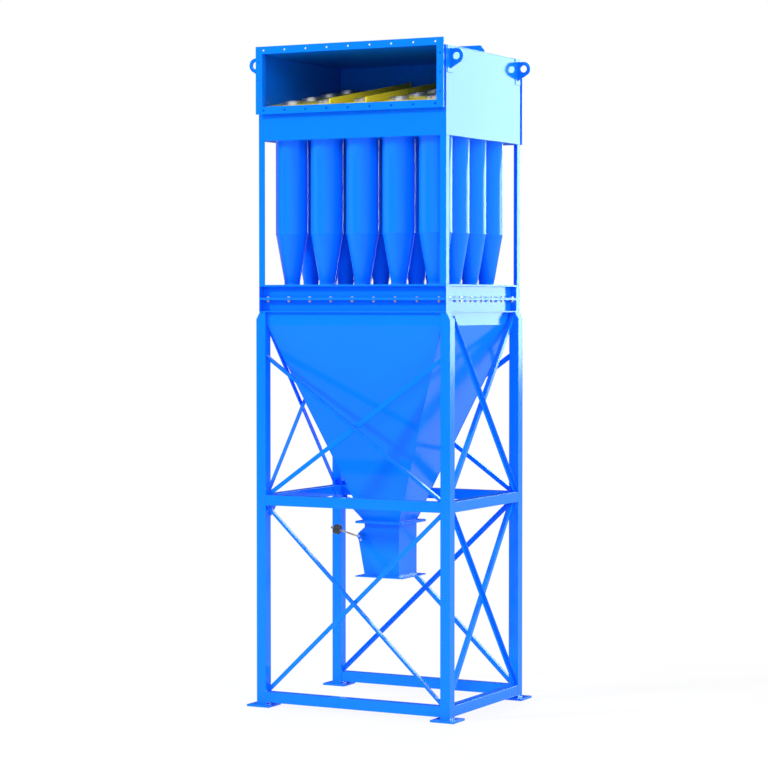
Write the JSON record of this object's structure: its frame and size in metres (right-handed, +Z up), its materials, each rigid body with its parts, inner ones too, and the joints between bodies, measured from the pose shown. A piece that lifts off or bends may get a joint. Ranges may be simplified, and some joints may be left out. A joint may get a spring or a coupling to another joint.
{
  "type": "cyclone separator",
  "caption": "Multicyclone dust separator: upright cyclones under a ducted head box, over a pyramid hopper with a counterweighted flap valve, on a braced stand.",
  "frame": {"origin": "on the ground under the middle of the unit", "axes": "+X to the right along the front, +Y from the outlet at the front to the inlet at the back, +Z up"},
  "size_m": [1.588, 1.224, 4.426],
  "materials": {
    "blue_paint": "gloss enamel",
    "yellow_paint": "gloss enamel",
    "bare_steel": "as drawn",
    "weight_grey": "dull"
  },
  "bodies": {
    "casing": {"base_beam_back": "blue_paint", "base_beam_front": "blue_paint", "base_beam_right": "blue_paint", "braces_back_falling": "blue_paint", "braces_back_rising": "blue_paint", "braces_front_falling": "blue_paint", "braces_front_rising": "blue_paint", "braces_left_falling": "blue_paint", "braces_left_rising": "blue_paint", "braces_right_falling": "blue_paint", "braces_right_rising": "blue_paint", "cyclones_row_1": "blue_paint", "cyclones_row_2": "blue_paint", "cyclones_row_3": "blue_paint", "cyclones_row_4": "blue_paint", "discharge_chute": "blue_paint", "exhaust_tubes": "bare_steel", "hanger_back_left": "blue_paint", "hanger_back_right": "blue_paint", "hanger_front_left": "blue_paint", "hanger_front_right": "blue_paint", "head_floor": "blue_paint", "head_wall_back": "blue_paint", "head_wall_front": "blue_paint", "head_wall_left": "blue_paint", "head_wall_right": "blue_paint", "hopper": "blue_paint", "inlet_flange": "blue_paint", "knee_plates": "blue_paint", "lower_skirt": "blue_paint", "lower_tube_sheet": "blue_paint", "lug_back_left": "blue_paint", "lug_back_right": "blue_paint", "lug_front_left": "blue_paint", "lug_front_right": "blue_paint", "mid_beam_back": "blue_paint", "mid_beam_front": "blue_paint", "mid_beam_left": "blue_paint", "mid_beam_right": "blue_paint", "outlet_flange": "blue_paint", "post_back_left": "blue_paint", "post_back_right": "blue_paint", "post_front_left": "blue_paint", "post_front_right": "blue_paint", "roof": "blue_paint", "sheet_ribs": "yellow_paint", "sloping_tube_sheet": "yellow_paint", "upper_skirt": "blue_paint", "valve_body": "blue_paint"},
    "flap_lever": {"flap": "blue_paint", "counterweight": "weight_grey"}
  },
  "joints": [
    {"name": "flap_hinge", "type": "hinge", "parent": "casing", "child": "flap_lever", "pos_m": [-0.141, 0, 1.131], "axis": [0, 1, 0], "range_deg": [0, 40]}
  ]
}
